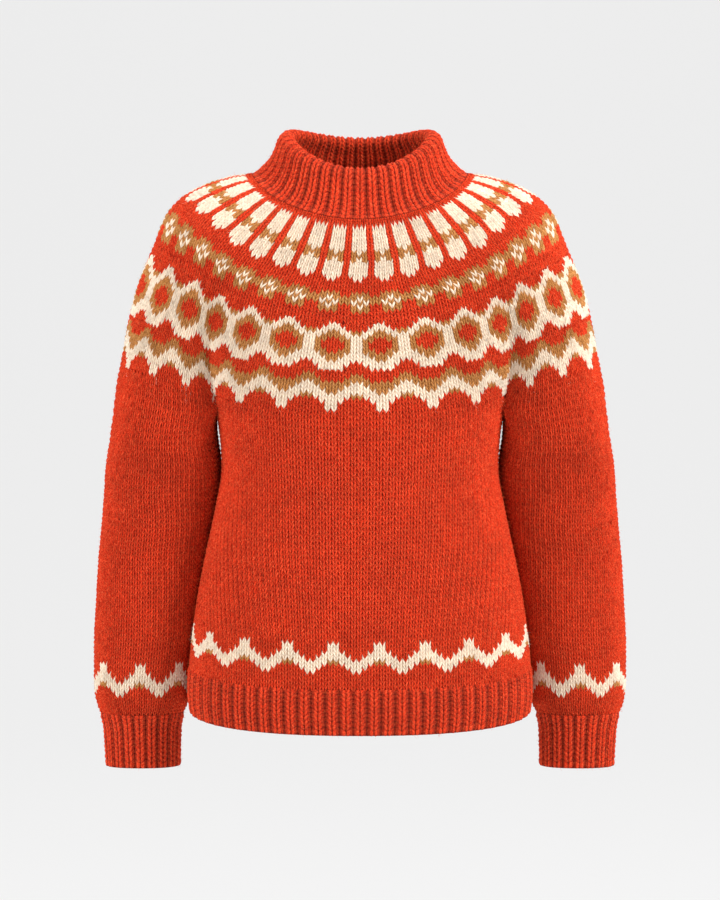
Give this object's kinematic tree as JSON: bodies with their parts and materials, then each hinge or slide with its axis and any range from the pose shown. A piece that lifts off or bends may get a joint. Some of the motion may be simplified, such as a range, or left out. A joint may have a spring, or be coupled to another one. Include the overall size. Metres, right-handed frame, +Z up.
{
  "type": "yoke sweater",
  "caption": "Hollow knitted pullover in its worn shape: doubled ribbed collar, round patterned yoke, straight body with ribbed hem, and long sleeves with ribbed cuffs.",
  "frame": {"origin": "in the middle of the neck, level with the collar's seam at its two sides, where the garment is held up by the shoulders", "axes": "+Z up, +X to the wearer's left, the front faces -Y"},
  "size_m": [0.611, 0.2309, 0.7337],
  "materials": {
    "wool_knit": "matt brushed wool in stocking stitch, orange red with cream and tan pattern rounds",
    "wool_rib": "matt brushed wool in knit 1, purl 1 ribbing, orange red"
  },
  "bodies": {
    "root": {"collar": "wool_rib", "yoke": "wool_knit", "body": "wool_knit", "hem_rib": "wool_rib", "sleeve_left": "wool_knit", "sleeve_right": "wool_knit", "cuff_left": "wool_rib", "cuff_right": "wool_rib"}
  },
  "joints": []
}
